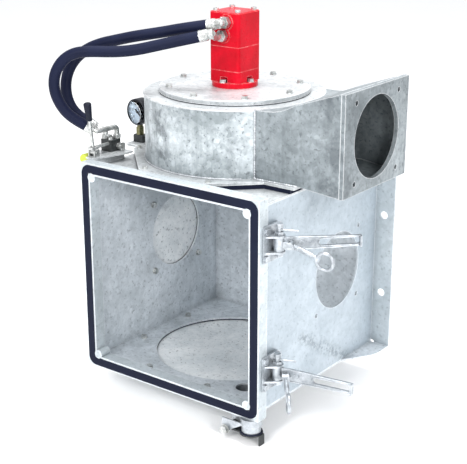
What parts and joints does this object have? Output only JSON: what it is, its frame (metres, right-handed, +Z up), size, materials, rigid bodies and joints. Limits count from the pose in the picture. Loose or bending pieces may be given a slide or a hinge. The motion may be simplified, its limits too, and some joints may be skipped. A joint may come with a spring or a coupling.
{
  "type": "hydraulic suction fan unit",
  "caption": "Open-fronted galvanised chamber carrying a round fan casing with a rectangular outlet, driven by an upright hydraulic gear motor with two hoses, a lever valve and a vacuum gauge.",
  "frame": {"origin": "rear bolting plane, in the middle of the four wall bolt holes and level with the middle of the front frame", "axes": "+X towards the outlet side, +Y towards the wall it is bolted to, -Y the open front, +Z up along the fan shaft"},
  "size_m": [0.7964, 0.5236, 0.8972],
  "materials": {
    "zinc_sheet": "hot-dip galvanised, bright with faint mottling",
    "casing_zinc": "hot-dip galvanised, grey and mottled",
    "seal_rubber": "matt black",
    "hose_rubber": "smooth black",
    "red_paint": "gloss red",
    "plated_steel": "zinc plated",
    "latch_zinc": "galvanised casting",
    "dark_steel": "satin black",
    "machined_steel": "machined",
    "wheel_steel": "dull grey",
    "bronze": "satin",
    "gauge_black": "gloss black",
    "dial_white": "matt white",
    "grip_black": "gloss black",
    "cap_yellow": "matt"
  },
  "bodies": {
    "fan_unit": {"right_wall": "zinc_sheet", "left_wall": "zinc_sheet", "back_wall": "zinc_sheet", "top_sheet": "zinc_sheet", "floor_sheet": "zinc_sheet", "rear_flanges": "zinc_sheet", "front_frame": "zinc_sheet", "corner_posts": "zinc_sheet", "blank_plates": "zinc_sheet", "fan_base": "zinc_sheet", "cover_disc": "zinc_sheet", "scroll_shell": "casing_zinc", "scroll_top": "casing_zinc", "outlet_duct": "casing_zinc", "outlet_flange": "casing_zinc", "inlet_ring": "casing_zinc", "door_seal": "seal_rubber", "blank_gaskets": "seal_rubber", "casing_gaskets": "seal_rubber", "shaft_seal": "seal_rubber", "hose_inner": "hose_rubber", "hose_outer": "hose_rubber", "motor_mount": "red_paint", "motor_gear_case": "red_paint", "motor_rear_cover": "red_paint", "blank_bolts": "plated_steel", "casing_bolts": "plated_steel", "motor_bolts": "plated_steel", "block_fasteners": "plated_steel", "flap_bolt": "plated_steel", "motor_elbows": "plated_steel", "hose_ferrules": "plated_steel", "valve_tubes": "plated_steel", "lever_bracket": "plated_steel", "test_nipple": "plated_steel", "latch_bases": "latch_zinc", "drain_channel": "latch_zinc", "valve_block": "dark_steel", "valve_bracket": "dark_steel", "gauge_foot": "dark_steel", "motor_bushes": "bronze", "gauge_adapter": "bronze", "gauge_case": "gauge_black", "gauge_dial": "dial_white"},
    "rotor": {"impeller": "wheel_steel", "impeller_hub": "machined_steel", "hub_fasteners": "plated_steel", "motor_shaft": "machined_steel"},
    "idler": {"idler_gear": "machined_steel"},
    "upper_lever": {"latch_lever_upper": "latch_zinc"},
    "lower_lever": {"latch_lever_lower": "latch_zinc"},
    "upper_hook": {"latch_hook_upper": "latch_zinc"},
    "lower_hook": {"latch_hook_lower": "latch_zinc"},
    "valve_handle": {"valve_lever": "plated_steel", "lever_grip": "grip_black"},
    "spool": {"valve_spool": "plated_steel"},
    "needle": {"gauge_needle": "machined_steel"},
    "flap": {"drain_flap": "dark_steel", "flap_seal": "seal_rubber"},
    "cap": {"test_cap": "cap_yellow"}
  },
  "joints": [
    {"name": "rotor_spin", "type": "hinge", "parent": "fan_unit", "child": "rotor", "pos_m": [-0.008, -0.228, 0.4], "axis": [0, 0, 1], "continuous": true},
    {"name": "idler_spin", "type": "hinge", "parent": "fan_unit", "child": "idler", "pos_m": [-0.008, -0.2038, 0.48], "axis": [0, 0, 1], "continuous": true},
    {"name": "upper_latch_swing", "type": "hinge", "parent": "fan_unit", "child": "upper_lever", "pos_m": [0.268, -0.443, 0.151], "axis": [0, 0, -1], "range_deg": [-38, 70]},
    {"name": "lower_latch_swing", "type": "hinge", "parent": "fan_unit", "child": "lower_lever", "pos_m": [0.268, -0.443, -0.142], "axis": [0, 0, -1], "range_deg": [-73, 35]},
    {"name": "upper_hook_lift", "type": "hinge", "parent": "upper_lever", "child": "upper_hook", "pos_m": [0.29275, -0.43381, 0.151], "axis": [0.225, -0.9744, 0], "range_deg": [0, 70]},
    {"name": "lower_hook_lift", "type": "hinge", "parent": "lower_lever", "child": "lower_hook", "pos_m": [0.29355, -0.44966, -0.142], "axis": [-0.766, -0.6428, 0], "range_deg": [0, 70]},
    {"name": "valve_lever_tilt", "type": "hinge", "parent": "fan_unit", "child": "valve_handle", "pos_m": [-0.248, -0.446, 0.264], "axis": [1, 0, 0], "range_deg": [-4, 14]},
    {"name": "spool_slide", "type": "slide", "parent": "fan_unit", "child": "spool", "axis": [0, 1, 0], "range_m": [-0.0025, 0.0008]},
    {"name": "needle_turn", "type": "hinge", "parent": "fan_unit", "child": "needle", "pos_m": [-0.264, -0.28, 0.324], "axis": [-0.0872, -0.9962, 0], "range_deg": [0, 270], "stiffness_Nm_per_rad": 0.003},
    {"name": "drain_flap_swing", "type": "hinge", "parent": "fan_unit", "child": "flap", "pos_m": [0.166, -0.474, -0.288], "axis": [0, 1, 0], "range_deg": [0, 85]},
    {"name": "cap_pull", "type": "slide", "parent": "fan_unit", "child": "cap", "axis": [0, -1, 0], "range_m": [0, 0.018]}
  ],
  "couplings": [
    {"joint": "idler_spin", "follows": "rotor_spin", "ratio": -1},
    {"joint": "spool_slide", "follows": "valve_lever_tilt", "m_per_rad": -0.01}
  ]
}
